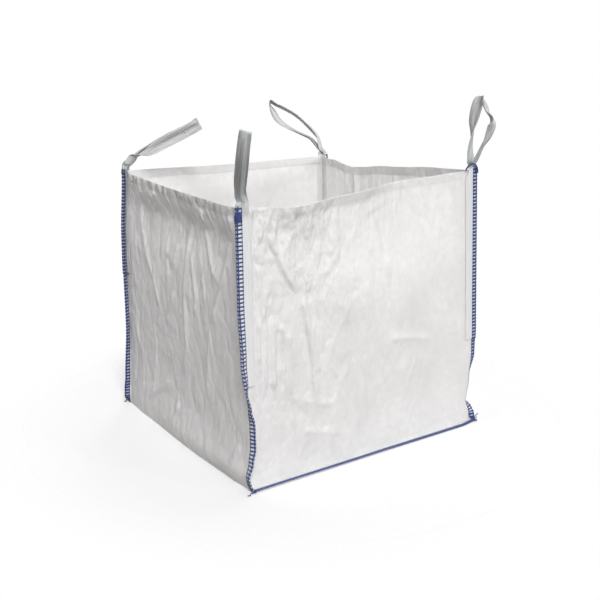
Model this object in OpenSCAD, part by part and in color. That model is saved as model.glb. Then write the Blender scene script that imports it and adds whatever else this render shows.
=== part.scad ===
// Open-top bulk bag of coated woven cloth: one cloth makes the left wall, the base and the right
// wall, two more make the front and the rear, and blue overlock seams join them. A strap is sewn
// into each corner seam and stands above the rim as a lifting loop.
// Millimetres, +Z up, origin on the floor below the middle of the bag, front towards -Y.

/* [Bag] */
// Width of the bag between its two side walls
bag_w = 900; // [600:10:1100]
// Depth of the bag between its front and rear panels
bag_d = 860; // [600:10:1100]
// Height of the rim above the floor
bag_h = 890; // [700:10:1200]
// How far each wall bows outwards at its middle
wall_bow = 12; // [0:1:40]
// How far the rim sags between two corners
rim_sag = 14; // [0:1:40]

/* [Cloth] */
// Thickness of the coated cloth
cloth_t = 1; // [0.6:0.1:2]
// Width of the seam allowance that stands out along every seam
flange_w = 24; // [20:1:40]
// Width of the hem that is turned in along the rim
hem_w = 28; // [15:1:50]

/* [Lifting loops] */
// Width of the strap
strap_w = 50; // [30:1:70]
// Thickness of the strap
strap_t = 2; // [1:0.1:4]
// Length of strap sewn down at a front corner
front_leg_h = 560; // [200:10:560]
// Length of strap sewn down at a rear corner
rear_leg_h = 370; // [200:10:560]
// Length of a free loop from its root to its tip
loop_l = 310; // [200:5:450]
// Radius of the rolled root that a loop turns on
root_r = 6; // [5:0.5:10]

/* [Overlock seams] */
// Spacing of the stitches along a seam
stitch_pitch = 12; // [8:0.5:20]
// Width of one bundle of thread across the seam
stitch_w = 3; // [1.5:0.5:6]
// Thickness of a bundle of thread
thread_t = 1.2; // [0.6:0.1:2]
// Depth of the stitches in from the edge of the seam allowance
overlock_w = 17; // [12:1:18]
// Width of the thread that runs along each side of the stitches
rail_w = 2.5; // [1.5:0.5:4]

/* [Fit] */
// Air between two layers that are sewn together
layer_gap = 0.3; // [0.2:0.05:0.6]

/* [Hidden] */

// Corners, in turn round the bag
FRONT_LEFT = 0;
FRONT_RIGHT = 1;
REAR_RIGHT = 2;
REAR_LEFT = 3;
side_sign = [-1, 1, 1, -1];
end_sign = [-1, -1, 1, 1];
// The other corner of the same front or rear panel
mate = [1, 0, 3, 2];
// How the slack bag stands: shift of each corner from a true box, at the floor and at the rim
base_shift = [[-20, -15, 0], [35, -5, 0], [10, 0, 0], [-10, -10, 0]];
rim_shift = [[-15, 5, -20], [-5, 10, 20], [-5, 0, -15], [15, -10, -5]];
leg_h = [front_leg_h, front_leg_h, rear_leg_h, rear_leg_h];

// Flat strip beside each corner that carries a leg before the wall starts to bow
leg_margin = 15;
flat_w = max(strap_w - flange_w, 0) + leg_margin;
// Height at which a corner's seam allowance starts to narrow towards the floor
ear_h = 40;
// Width that is left of it where it meets the bottom seam allowance
ear_w = 18;
// The bottom seam allowance lies this high, so that the thread under it clears the floor
floor_clear = 0.2;
lift = floor_clear + thread_t + layer_gap;
end_under = lift + cloth_t + layer_gap;
end_over = end_under + cloth_t;
// The hem stops this far short of a corner, and its lower edge slopes over this height
hem_in = 6;
hem_step = 2;
// Columns and rows of points across a wall, the columns between its two flat strips
wall_cols = 8;
wall_rows = 5;
// Rows of points up a wall, each a share of the corner's height plus a length
levels = concat([[0, ear_h]], [for (i = [1:wall_rows - 1]) [i / wall_rows, 0]],
                [[1, -hem_w - hem_step], [1, -hem_w], [1, 0]]);
hem_rows = 2;

// Sewing thread of the hem and of the legs, and how far in from their edges it runs
sewing_w = 1.5;
sewing_t = 0.6;
hem_sewing_in = 6;
leg_sewing_in = 4;

CLOTH = [0.93, 0.94, 0.92];
STRAP = [0.86, 0.87, 0.86];
THREAD = [0.14, 0.27, 0.62];

// Routes of the free loops, as points from the rim corner in millimetres for a loop 310 long, each
// with the heading and the slope of the strap's width in degrees
route_l = 310;
front_left_route = [
    [-4, -14, 44, -6, 0], [-22, -45, 80, -20, 0], [-43, -78, 135, -34, 0], [-53, -100, 185, -35, -2],
    [-58, -113, 215, -35, -8], [-52, -112, 228, -35, -14], [-45, -97, 216, -35, -12],
    [-38, -70, 184, -35, -5], [-28, -36, 130, -30, 0], [-14, -10, 78, -16, 0], [-4, 3, 44, -4, 0]];
front_right_route = [
    [-4, -9, 44, 0, 0], [-13, -14, 76, 0, 0], [-21, -21, 112, 0, 0], [-24, -29, 152, 6, 0],
    [-24, -40, 192, 26, 2], [-21, -49, 218, 46, 7], [-12, -56, 237, 62, 11], [2, -58, 222, 64, 8],
    [24, -57, 182, 58, -4], [36, -52, 148, 50, -10], [39, -26, 113, 30, -8], [29, 4, 90, 12, 0],
    [12, 9, 68, 6, 2], [0, 6, 44, 2, 3]];
rear_right_route = [
    [0, 2, 40, 20, -5], [-8, 28, 73, 45, -12], [-24, 56, 109, 55, -15], [-49, 89, 146, 55, -15],
    [-80, 124, 176, 55, -15], [-112, 153, 199, 55, -15], [-133, 171, 211, 57, -18],
    [-143, 170, 197, 57, -18], [-136, 157, 177, 57, -18], [-121, 140, 153, 55, -15], [-97, 115, 116, 55, -15],
    [-70, 92, 90, 52, -15], [-37, 68, 75, 45, -12], [-16, 44, 54, 30, -8], [-6, 24, 36, 12, -3]];
rear_left_route = [
    [4, -8, 42, 40, -5], [24, -24, 62, 50, -15], [60, -56, 73, 5, -40], [102, -88, 90, -50, -54],
    [150, -121, 118, -59, -56], [188, -143, 143, -59, -56], [206, -143, 148, -59, -56],
    [198, -129, 139, -59, -56], [165, -93, 119, -59, -56], [118, -56, 92, -57, -52],
    [75, -27, 81, 5, -40], [34, 4, 67, 50, -15], [6, 10, 42, 40, -5]];
// Side of the seam where each route starts: 1 on the leg of the end panel, -1 on the side leg
route_start = [1, 1, -1, -1];
// Rings between two points of a route
route_steps = 5;
// How far the two strands stand from the root's axis, and how far they rise from it before they lean
root_spread = 3;
root_lead = 14;
// The rolled root stops this far short of the strap's edges
root_in = 1;

function unit(v) = v / norm(v);
function mix(p, q, s) = p + (q - p) * s;
function flat(v) = [v.x, v.y, 0];

// Frame of a corner: u along the end panel and outwards, v out of the end panel, w up the corner
function base_at(c) = [side_sign[c] * bag_w / 2, end_sign[c] * bag_d / 2, 0] + base_shift[c];
function rim_at(c) = [side_sign[c] * bag_w / 2, end_sign[c] * bag_d / 2, bag_h] + rim_shift[c];
function seam_h(c) = norm(rim_at(c) - base_at(c));
function axis_w(c) = unit(rim_at(c) - base_at(c));
function along(c) = base_at(c) - base_at(mate[c]) + rim_at(c) - rim_at(mate[c]);
function axis_u(c) = unit(along(c) - (along(c) * axis_w(c)) * axis_w(c));
function axis_v(c) = side_sign[c] * end_sign[c] * cross(axis_w(c), axis_u(c));
function corner_pt(c, u, v, w) = base_at(c) + u * axis_u(c) + v * axis_v(c) + w * axis_w(c);

// Level frame of the same corner on the floor
function floor_u(c) = unit(flat(base_at(c) - base_at(mate[c])));
function floor_v(c) = side_sign[c] * end_sign[c] * cross([0, 0, 1], floor_u(c));
function floor_pt(c, u, v, z) = base_at(c) + u * floor_u(c) + v * floor_v(c) + [0, 0, z];

function level_w(c, row) = row[0] * seam_h(c) + row[1];
function level_share(row) = row[0] + row[1] / bag_h;
function is_hem(i) = i >= len(levels) - hem_rows;

// Point of a wall between two flat strips: it bows at mid height and sags at the rim
function wall_pt(p, q, s, row, out) =
    mix(p, q, s) + pow(sin(180 * s), 2)
        * (out * wall_bow * sin(180 * level_share(row)) - [0, 0, rim_sag * pow(level_share(row), 4)]);

// Columns across a panel: [-1, x] at the first corner, [0, share] between, [1, x] at the second
function columns(edge) = concat(
    [for (x = edge) [-1, x]],
    [for (i = [1:wall_cols - 1]) [0, i / wall_cols]],
    [for (i = [len(edge) - 1:-1:0]) [1, edge[i]]]);

// Front or rear panel, from its left to its right corner as seen from outside
end_columns = columns([flange_w, 0, -hem_in, -flat_w]);
function end_level_pt(a, b, col, row, v) =
    col[0] < 0 ? corner_pt(a, col[1], v, level_w(a, row)) :
    col[0] > 0 ? corner_pt(b, col[1], v, level_w(b, row)) :
    wall_pt(corner_pt(a, -flat_w, v, level_w(a, row)), corner_pt(b, -flat_w, v, level_w(b, row)),
            col[1], row, [0, end_sign[a], 0]);
function end_floor_pt(a, b, col, v, z) =
    col[0] < 0 ? floor_pt(a, col[1], v, z) :
    col[0] > 0 ? floor_pt(b, col[1], v, z) :
    mix(floor_pt(a, -flat_w, v, z), floor_pt(b, -flat_w, v, z), col[1]);
function on_flange(col) = col[0] != 0 && col[1] > 0;
function corner_of(a, b, col) = col[0] < 0 ? a : b;
// Reach of the bottom seam allowance, which tapers to the cloth's face v at the ear of the corner
function bottom_reach(col, v) =
    col[0] == 0 ? flange_w : mix(v, flange_w, (ear_w - col[1]) / (ear_w + flat_w));
function ear_pt(c, v, z) = floor_pt(c, ear_w, v, z);
function end_flange_row(a, b, v, z) = [for (col = end_columns)
    on_flange(col) ? ear_pt(corner_of(a, b, col), v, z) : end_floor_pt(a, b, col, bottom_reach(col, v), z)];
function end_fold_row(a, b, v, z) = [for (col = end_columns)
    on_flange(col) ? mix(end_level_pt(a, b, col, levels[0], v), ear_pt(corner_of(a, b, col), v, z), 0.5)
                   : end_floor_pt(a, b, col, v, z)];
function end_inner_v(i, col) = is_hem(i) && (col[0] == 0 || col[1] < 0) ? -cloth_t : 0;

module end_panel(a, b) {
    outer = concat(
        [end_flange_row(a, b, cloth_t, end_over), end_fold_row(a, b, cloth_t, end_over)],
        [for (row = levels) [for (col = end_columns) end_level_pt(a, b, col, row, cloth_t)]]);
    inner = concat(
        [end_flange_row(a, b, 0, end_under), end_fold_row(a, b, 0, end_under)],
        [for (i = [0:len(levels) - 1])
            [for (col = end_columns) end_level_pt(a, b, col, levels[i], end_inner_v(i, col))]]);
    color(CLOTH) sheet(outer, inner);
}

// Closed sheet between two matching grids of points, split into triangles alike from both sides
module sheet(outer, inner) {
    rows = len(outer);
    cols = len(outer[0]);
    points = concat([for (r = outer) each r], [for (r = inner) each r]);
    function o(r, c) = r * cols + c;
    function i(r, c) = rows * cols + r * cols + c;
    quads = concat(
        [for (r = [0:rows - 2]) for (c = [0:cols - 2]) [o(r, c), o(r + 1, c), o(r + 1, c + 1), o(r, c + 1)]],
        [for (r = [0:rows - 2]) for (c = [0:cols - 2]) [i(r, c), i(r, c + 1), i(r + 1, c + 1), i(r + 1, c)]],
        [for (c = [0:cols - 2]) [o(0, c), o(0, c + 1), i(0, c + 1), i(0, c)]],
        [for (c = [0:cols - 2]) [o(rows - 1, c + 1), o(rows - 1, c), i(rows - 1, c), i(rows - 1, c + 1)]],
        [for (r = [0:rows - 2]) [o(r + 1, 0), o(r, 0), i(r, 0), i(r + 1, 0)]],
        [for (r = [0:rows - 2]) [o(r, cols - 1), o(r + 1, cols - 1), i(r + 1, cols - 1), i(r, cols - 1)]]);
    function halves(q) = q[0] % cols < floor(cols / 2)
        ? [[q[0], q[1], q[2]], [q[0], q[2], q[3]]]
        : [[q[0], q[1], q[3]], [q[1], q[2], q[3]]];
    polyhedron(points, [for (q = quads) each halves(q)]);
}

// Left wall, base and right wall in one cloth, from the left rim round to the right rim
fold_v = -layer_gap;
u_columns = columns([flange_w, fold_v, -hem_in, -flat_w]);
function side_level_pt(a, b, col, row, u, v) =
    on_flange(col) ? corner_pt(corner_of(a, b, col), flange_w, v, level_w(corner_of(a, b, col), row)) :
    col[0] != 0 && col[1] == fold_v ? corner_pt(corner_of(a, b, col), u, v, level_w(corner_of(a, b, col), row)) :
    col[0] != 0 ? corner_pt(corner_of(a, b, col), u, col[1], level_w(corner_of(a, b, col), row)) :
    wall_pt(corner_pt(a, u, -flat_w, level_w(a, row)), corner_pt(b, u, -flat_w, level_w(b, row)),
            col[1], row, [side_sign[a], 0, 0]);
function side_inner_u(i, col) = is_hem(i) && (col[0] == 0 || col[1] <= -hem_in) ? -cloth_t : 0;
// Height of the base's underside: it rises to the seam allowance at the front and at the rear
function base_z(col) = col[0] == 0 || col[1] == -flat_w ? 0 : lift;
function base_reach(col, v) = col[1] > 0 ? flange_w : col[1] == fold_v ? v : col[1];
function side_floor_pt(a, b, col, u, v, z) =
    col[0] == 0 ? mix(floor_pt(a, u, -flat_w, z), floor_pt(b, u, -flat_w, z), col[1])
                : floor_pt(corner_of(a, b, col), u, base_reach(col, v), z + base_z(col));
function side_fold_row(a, b, u, v, z) = [for (col = u_columns)
    on_flange(col) ? ear_pt(corner_of(a, b, col), v, lift + z) : side_floor_pt(a, b, col, u, v, z)];
function base_row(s, v, z) = [for (col = u_columns)
    mix(side_floor_pt(FRONT_LEFT, REAR_LEFT, col, -flat_w, v, z),
        side_floor_pt(FRONT_RIGHT, REAR_RIGHT, col, -flat_w, v, z), s)];
base_rows = 4;

module u_panel() {
    top = len(levels) - 1;
    out_v = fold_v - cloth_t;
    outer = concat(
        [for (i = [top:-1:0]) [for (col = u_columns)
            side_level_pt(FRONT_LEFT, REAR_LEFT, col, levels[i], cloth_t, out_v)]],
        [side_fold_row(FRONT_LEFT, REAR_LEFT, cloth_t, out_v, 0)],
        [for (j = [0:base_rows]) base_row(j / base_rows, out_v, 0)],
        [side_fold_row(FRONT_RIGHT, REAR_RIGHT, cloth_t, out_v, 0)],
        [for (i = [0:top]) [for (col = u_columns)
            side_level_pt(FRONT_RIGHT, REAR_RIGHT, col, levels[i], cloth_t, out_v)]]);
    inner = concat(
        [for (i = [top:-1:0]) [for (col = u_columns)
            side_level_pt(FRONT_LEFT, REAR_LEFT, col, levels[i], side_inner_u(i, col), fold_v)]],
        [side_fold_row(FRONT_LEFT, REAR_LEFT, 0, fold_v, cloth_t)],
        [for (j = [0:base_rows]) base_row(j / base_rows, fold_v, cloth_t)],
        [side_fold_row(FRONT_RIGHT, REAR_RIGHT, 0, fold_v, cloth_t)],
        [for (i = [0:top]) [for (col = u_columns)
            side_level_pt(FRONT_RIGHT, REAR_RIGHT, col, levels[i], side_inner_u(i, col), fold_v)]]);
    color(CLOTH) sheet(outer, inner);
}

module in_frame(x, y, z, origin) {
    multmatrix([[x.x, y.x, z.x, origin.x], [x.y, y.y, z.y, origin.y], [x.z, y.z, z.z, origin.z], [0, 0, 0, 1]])
        children();
}

module at_corner(c) {
    in_frame(axis_u(c), axis_v(c), axis_w(c), base_at(c)) children();
}

// Layers of a corner seam through its thickness, from the side leg out to the leg of the end panel
side_leg_out = fold_v - cloth_t - layer_gap;
side_leg_in = side_leg_out - strap_t;
end_leg_in = cloth_t + layer_gap;
end_leg_out = end_leg_in + strap_t;

// Leg of a loop on the front or rear panel, its edge in line with the seam allowance
module end_leg(c) {
    color(STRAP) at_corner(c)
        translate([flange_w - strap_w, end_leg_in, seam_h(c) - leg_h[c]])
            cube([strap_w, strap_t, leg_h[c]]);
}

// Leg of a loop on a side wall: it follows the seam allowance and turns along the wall
wall_face = cloth_t + layer_gap;
side_leg_reach = side_leg_out - (strap_w - (flange_w - wall_face));
module side_leg(c) {
    color(STRAP) at_corner(c) translate([0, 0, seam_h(c) - leg_h[c]]) linear_extrude(leg_h[c])
        polygon([[flange_w, side_leg_out], [wall_face, side_leg_out], [wall_face, side_leg_reach],
                 [wall_face + strap_t, side_leg_reach], [wall_face + strap_t, side_leg_in],
                 [flange_w, side_leg_in]]);
}

// Overlock stitches round the edge of a seam allowance: the seam runs along Z, the edge faces +X,
// and the sewn layers lie between low and high in Y
module overlock(run, low, high) {
    inside_low = low - layer_gap;
    inside_high = high + layer_gap;
    depth = inside_high - inside_low + 2 * thread_t;
    count = floor(run / stitch_pitch);
    first = (run - count * stitch_pitch + stitch_w) / 2;
    cut = 1;
    difference() {
        translate([flange_w - overlock_w, inside_low - thread_t, 0])
            cube([overlock_w + layer_gap + thread_t, depth, run]);
        translate([flange_w - overlock_w - cut, inside_low, -cut])
            cube([overlock_w + cut + layer_gap, inside_high - inside_low, run + 2 * cut]);
        for (i = [0:count - 1])
            translate([flange_w - overlock_w + rail_w, inside_low - thread_t - cut, first + i * stitch_pitch])
                cube([overlock_w - 2 * rail_w, depth + 2 * cut, stitch_pitch - stitch_w]);
    }
}

// Corner seam: it starts above the narrowing ear, and is thicker where it takes in the two legs of a loop
ear_clear = 5;
seam_start = ear_h + ear_clear;
module corner_seam(c) {
    step_w = seam_h(c) - leg_h[c] - layer_gap;
    color(THREAD) at_corner(c) {
        translate([0, 0, seam_start]) overlock(step_w - seam_start, fold_v - cloth_t, cloth_t);
        translate([0, 0, step_w]) overlock(seam_h(c) - step_w, side_leg_in, end_leg_out);
    }
}

// Bottom seam of the front or rear panel, from its left to its right corner as seen from outside
module bottom_seam(a, b) {
    run = norm(base_at(b) - base_at(a)) - 2 * flat_w;
    color(THREAD) in_frame(floor_v(a), [0, 0, 1], -floor_u(a), floor_pt(a, -flat_w, 0, 0))
        overlock(run, lift, end_over);
}

// Free part of a loop
function smooth(p, i, t) =
    let (a = p[max(i - 1, 0)], b = p[i], c = p[i + 1], d = p[min(i + 2, len(p) - 1)])
    ((2 * b) + (c - a) * t + (2 * a - 5 * b + 4 * c - d) * t * t + (3 * b - a - 3 * c + d) * t * t * t) / 2;
// The first and the last stretch are the straight rise out of the root
function smooth_route(p) = concat(
    [p[0]],
    [for (i = [1:len(p) - 3]) for (j = [0:route_steps - 1]) smooth(p, i, j / route_steps)],
    [p[len(p) - 2], p[len(p) - 1]]);
function place(p) = [p.x, p.y, p.z];
function width_dir(p) = [cos(p[3]) * cos(p[4]), sin(p[3]) * cos(p[4]), sin(p[4])];

function root_axis(c) = corner_pt(c, flange_w - strap_w / 2, 0, seam_h(c) + layer_gap + root_r);
function root_point(c, side, rise) =
    let (p = (root_axis(c) + side * root_spread * axis_v(c) + rise * axis_w(c) - rim_at(c)) * route_l / loop_l,
         d = side_sign[c] * axis_u(c))
    [p.x, p.y, p.z, atan2(d.y, d.x), asin(d.z)];

module strap_loop(c, route) {
    first = route_start[c];
    path = smooth_route(concat([root_point(c, first, 0), root_point(c, first, root_lead)], route,
                               [root_point(c, -first, root_lead), root_point(c, -first, 0)]));
    centre = [for (p = path) rim_at(c) + place(p) * loop_l / route_l];
    last = len(path) - 1;
    heading = [for (i = [0:last]) unit(centre[min(i + 1, last)] - centre[max(i - 1, 0)])];
    across = [for (i = [0:last])
        let (d = width_dir(path[i])) unit(d - (d * heading[i]) * heading[i]) * strap_w / 2];
    through = [for (i = [0:last]) unit(cross(across[i], heading[i])) * strap_t / 2];
    color(STRAP) {
        sheet([for (i = [0:last]) [centre[i] + through[i] - across[i], centre[i] + through[i] + across[i]]],
              [for (i = [0:last]) [centre[i] - through[i] - across[i], centre[i] - through[i] + across[i]]]);
        in_frame(axis_v(c), axis_w(c), axis_u(c), root_axis(c))
            cylinder(h = strap_w - 2 * root_in, r = root_r, center = true, $fn = 48);
    }
}

// Line of sewing along the hem of one wall, on the outside
hem_sewing_drop = hem_w - hem_sewing_in;
hem_sewing_rows = [[1, -hem_sewing_drop - sewing_w], [1, -hem_sewing_drop]];
hem_sewing_face = cloth_t + layer_gap;
function wall_columns(cols) = [for (col = cols) if (col[0] == 0) col];
module hem_stitching() {
    color(CLOTH) {
        for (ends = [[FRONT_LEFT, FRONT_RIGHT], [REAR_RIGHT, REAR_LEFT]])
            sheet([for (row = hem_sewing_rows) [for (col = wall_columns(end_columns))
                      end_level_pt(ends[0], ends[1], col, row, hem_sewing_face + sewing_t)]],
                  [for (row = hem_sewing_rows) [for (col = wall_columns(end_columns))
                      end_level_pt(ends[0], ends[1], col, row, hem_sewing_face)]]);
        for (sides = [[REAR_LEFT, FRONT_LEFT], [FRONT_RIGHT, REAR_RIGHT]])
            sheet([for (row = hem_sewing_rows) [for (col = wall_columns(u_columns))
                      side_level_pt(sides[0], sides[1], col, row, hem_sewing_face + sewing_t, 0)]],
                  [for (row = hem_sewing_rows) [for (col = wall_columns(u_columns))
                      side_level_pt(sides[0], sides[1], col, row, hem_sewing_face, 0)]]);
    }
}

// Line of sewing down each leg, near the edge that lies on the wall
module leg_stitching() {
    color(CLOTH) for (c = [FRONT_LEFT:REAR_LEFT]) at_corner(c)
        translate([0, 0, seam_h(c) - leg_h[c] + leg_sewing_in]) {
            translate([flange_w - strap_w + leg_sewing_in, end_leg_out + layer_gap, 0])
                cube([sewing_w, sewing_t, leg_h[c] - 2 * leg_sewing_in]);
            translate([wall_face + strap_t + layer_gap, side_leg_reach + leg_sewing_in, 0])
                cube([sewing_t, sewing_w, leg_h[c] - 2 * leg_sewing_in]);
        }
}

module front_panel() { end_panel(FRONT_LEFT, FRONT_RIGHT); }
module rear_panel() { end_panel(REAR_RIGHT, REAR_LEFT); }

u_panel();
front_panel();
rear_panel();
strap_loop(FRONT_LEFT, front_left_route);  // front_left_loop
strap_loop(FRONT_RIGHT, front_right_route);  // front_right_loop
strap_loop(REAR_RIGHT, rear_right_route);  // rear_right_loop
strap_loop(REAR_LEFT, rear_left_route);  // rear_left_loop
end_leg(FRONT_LEFT);  // front_left_front_leg
side_leg(FRONT_LEFT);  // front_left_side_leg
end_leg(FRONT_RIGHT);  // front_right_front_leg
side_leg(FRONT_RIGHT);  // front_right_side_leg
end_leg(REAR_RIGHT);  // rear_right_rear_leg
side_leg(REAR_RIGHT);  // rear_right_side_leg
end_leg(REAR_LEFT);  // rear_left_rear_leg
side_leg(REAR_LEFT);  // rear_left_side_leg
corner_seam(FRONT_LEFT);  // front_left_seam
bottom_seam(FRONT_LEFT, FRONT_RIGHT);  // front_bottom_seam
corner_seam(FRONT_RIGHT);  // front_right_seam
corner_seam(REAR_RIGHT);  // rear_right_seam
bottom_seam(REAR_RIGHT, REAR_LEFT);  // rear_bottom_seam
corner_seam(REAR_LEFT);  // rear_left_seam
hem_stitching();
leg_stitching();
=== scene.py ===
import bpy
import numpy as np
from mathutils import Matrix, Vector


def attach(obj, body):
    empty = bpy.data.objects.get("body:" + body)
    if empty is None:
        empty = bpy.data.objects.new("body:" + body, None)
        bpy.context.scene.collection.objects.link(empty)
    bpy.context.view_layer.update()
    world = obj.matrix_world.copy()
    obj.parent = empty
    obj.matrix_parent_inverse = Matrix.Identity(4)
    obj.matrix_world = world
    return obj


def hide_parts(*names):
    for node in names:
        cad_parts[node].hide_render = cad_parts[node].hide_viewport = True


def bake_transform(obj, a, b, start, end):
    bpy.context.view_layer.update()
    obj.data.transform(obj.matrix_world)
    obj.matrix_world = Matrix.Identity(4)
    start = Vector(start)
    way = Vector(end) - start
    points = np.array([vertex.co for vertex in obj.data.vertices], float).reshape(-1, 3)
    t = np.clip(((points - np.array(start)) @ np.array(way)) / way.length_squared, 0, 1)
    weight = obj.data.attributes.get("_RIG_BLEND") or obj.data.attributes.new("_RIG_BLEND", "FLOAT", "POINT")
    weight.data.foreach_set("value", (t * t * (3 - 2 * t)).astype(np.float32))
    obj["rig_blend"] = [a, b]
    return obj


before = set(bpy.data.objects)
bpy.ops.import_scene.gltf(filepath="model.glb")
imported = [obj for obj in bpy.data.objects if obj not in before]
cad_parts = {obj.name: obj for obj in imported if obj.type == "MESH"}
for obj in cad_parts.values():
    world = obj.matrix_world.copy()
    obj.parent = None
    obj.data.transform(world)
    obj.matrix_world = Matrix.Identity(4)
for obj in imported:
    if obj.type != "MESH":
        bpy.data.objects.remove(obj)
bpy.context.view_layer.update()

import functools
import math

import bpy
import numpy as np
from mathutils import Vector, noise

scene = bpy.context.scene
scene.view_settings.view_transform = "Standard"
millimetre = 0.001    # shapes are worked out in millimetres and scaled once, when a mesh is made
perMetre = 1000       # divided by a size in millimetres, gives the scale of a pattern

# The bag stands slack, so each corner leans its own way. Its seam line drifts along and out of the
# front or rear panel, and the seam allowance fans out of that panel, both by height up the corner.
bag = {"width": 900, "depth": 860, "height": 890, "cloth": 1.0, "allowance": 24, "hem": 28,
       "hemStop": 8, "strap": 50, "strapThick": 2.0, "footTilt": 1}


def swell(*stops):    # a curve that starts and ends at nought
    return [(0, 0), *stops, (1, 0)]


corners = {
    "front_left": {
        "side": -1, "end": -1, "foot": (-20, -15, 0), "rim": (-15, 5, -20), "mate": "front_right",
        "leg": 535, "driftAlong": [(0, 0), (24, 10), (46, 13), (95, 4), (140, 0)],
        "driftOut": [(0, 4), (60, 0)],
        "fan": [(0, 90), (46, 84), (95, 100), (140, 118), (215, 114), (262, 84), (330, 48), (410, 24),
                (600, 0)]},
    "front_right": {
        "side": 1, "end": -1, "foot": (35, -5, 0), "rim": (-5, 10, 20), "mate": "front_left",
        "leg": 600, "driftAlong": [(0, 0), (30, -14), (72, -22), (165, -7), (260, 0)], "driftOut": swell(),
        "fan": [(0, 90), (16, 70), (42, 0), (75, -48), (165, -44), (255, -10), (350, 0)]},
    "rear_right": {
        "side": 1, "end": 1, "foot": (10, 0, 0), "rim": (-5, 0, -15), "mate": "rear_left",
        "leg": 370, "driftAlong": [(0, 0), (300, 5), (620, 0)], "driftOut": swell(),
        "fan": [(0, 90), (40, 35), (110, -8), (260, 10), (480, 0)]},
    "rear_left": {
        "side": -1, "end": 1, "foot": (-10, -10, 0), "rim": (15, -10, -5), "mate": "rear_right",
        "leg": 370, "driftAlong": [(0, 0), (240, -2), (660, 7), (880, 0)], "driftOut": swell(),
        "fan": [(0, 90), (36, 25), (110, -8), (320, -32), (880, -36)]},
}
walls = {
    "front": {
        "left": "front_left", "right": "front_right", "out": (0, -1, 0), "seed": 11, "bow": 15,
        "foot": swell((0.5, 4), (0.93, 9)),
        "dent": swell((0.2, 2), (0.45, 22), (0.7, 48), (0.86, 22)),
        "flare": swell((0.15, 8), (0.4, 3), (0.6, 0)),
        "tip": swell((0.13, 0), (0.22, 10), (0.5, 11), (0.7, 0)),
        "sag": swell((0.05, 3), (0.2, 17), (0.36, 12), (0.7, 6)),
        "crumpleAcross": [(0, 1.2), (0.25, 1.3), (0.48, 0.6), (1, 0.25)],
        "crumpleUp": [(0, 0.4), (0.4, 0.7), (0.9, 1), (1, 1.5)]},
    "right": {
        "left": "front_right", "right": "rear_right", "out": (1, 0, 0), "seed": 23, "bow": 12,
        "foot": swell((0.1, 8), (0.5, 12), (0.9, 8)),
        "dent": swell((0.5, 8)), "flare": swell((0.5, 8)), "tip": swell(),
        "sag": swell((0.2, 2), (0.5, 14), (0.76, 30), (0.93, 8)),
        "crumpleAcross": [(0, 0.6), (1, 0.6)], "crumpleUp": [(0, 0.8), (1, 0.7)]},
    "rear": {
        "left": "rear_right", "right": "rear_left", "out": (0, 1, 0), "seed": 37, "bow": 10,
        "foot": swell((0.08, 12), (0.5, 18), (0.92, 12)),
        "dent": swell((0.4, -6)), "flare": swell((0.5, 6)), "tip": swell(),
        "sag": swell((0.5, 6)),
        "crumpleAcross": [(0, 0.5), (1, 0.5)], "crumpleUp": [(0, 1), (0.75, 0.8), (0.85, 0.4), (1, 0.4)]},
    "left": {
        "left": "rear_left", "right": "front_left", "out": (-1, 0, 0), "seed": 53, "bow": 8,
        "foot": swell((0.15, 6), (0.6, 14), (0.9, 8)),
        "dent": swell((0.3, 5), (0.5, 9), (0.8, 4)),
        "flare": swell((0.1, 20), (0.5, 28), (0.9, 20)), "tip": swell(),
        "sag": swell((0.5, 3)), "crumpleAcross": [(0, 1), (1, 1)],
        "crumpleUp": [(0, 0.6), (0.4, 0.8), (0.86, 1), (0.93, 1.7), (1, 1.5)]},
}
comesIn = {    # where up a wall each form of it begins, and over what share of the height it comes in
    "foot": (0, 0.2), "sag": (0.3, 0.7), "dent": (0.55, 0.45), "waist": (0.7, 0.17), "flare": (0.87, 0.13),
    "stiff": (0.955, 0.03), "tip": (0.955, 0.045)}


def unit(v):
    return v / np.linalg.norm(v, axis=-1, keepdims=True)


def smooth(x):
    x = np.clip(x, 0, 1)
    return x * x * (3 - 2 * x)


def ease(stops, at):
    places = np.array([stop[0] for stop in stops], float)
    values = np.array([stop[1] for stop in stops], float)
    at = np.clip(at, places[0], places[-1])
    i = np.clip(np.searchsorted(places, at, side="right") - 1, 0, len(places) - 2)
    return values[i] + (values[i + 1] - values[i]) * smooth((at - places[i]) / (places[i + 1] - places[i]))


def evenly(low, high, length, cell):    # from low to high in steps of about one cell of a length
    return np.linspace(low, high, int(length / cell) + 1)


def formShare(kind, t):    # straight share, to be smoothed, of a form at a height up the wall
    start, length = comesIn[kind]
    return np.clip((t - start) / length, 0, 1)


for c in corners.values():    # seam line of each corner in the frame of the CAD model
    box = np.array([c["side"] * bag["width"] / 2, c["end"] * bag["depth"] / 2, 0])
    c["footPoint"] = box + c["foot"]
    c["rimPoint"] = box + c["rim"] + [0, 0, bag["height"]]
for c in corners.values():
    mate = corners[c["mate"]]
    rise = c["rimPoint"] - c["footPoint"]
    c["tall"] = np.linalg.norm(rise)
    c["up"] = unit(rise)
    along = c["footPoint"] - mate["footPoint"] + c["rimPoint"] - mate["rimPoint"]
    c["along"] = unit(along - (along @ c["up"]) * c["up"])
    c["out"] = c["side"] * c["end"] * np.cross(c["up"], c["along"])


def seamLine(c, height):
    height = np.asarray(height, float)[..., None]
    return (c["footPoint"] + height * c["up"] + ease(c["driftAlong"], height) * c["along"]
            + ease(c["driftOut"], height) * c["out"])


def seamFrame(c, height):    # way of the seam allowance and the side of it that faces out of the end panel
    fan = np.radians(ease(c["fan"], np.asarray(height, float)))[..., None]
    way = np.cos(fan) * c["along"] + np.sin(fan) * c["out"]
    return way, np.cos(fan) * c["out"] - np.sin(fan) * c["along"]


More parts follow.
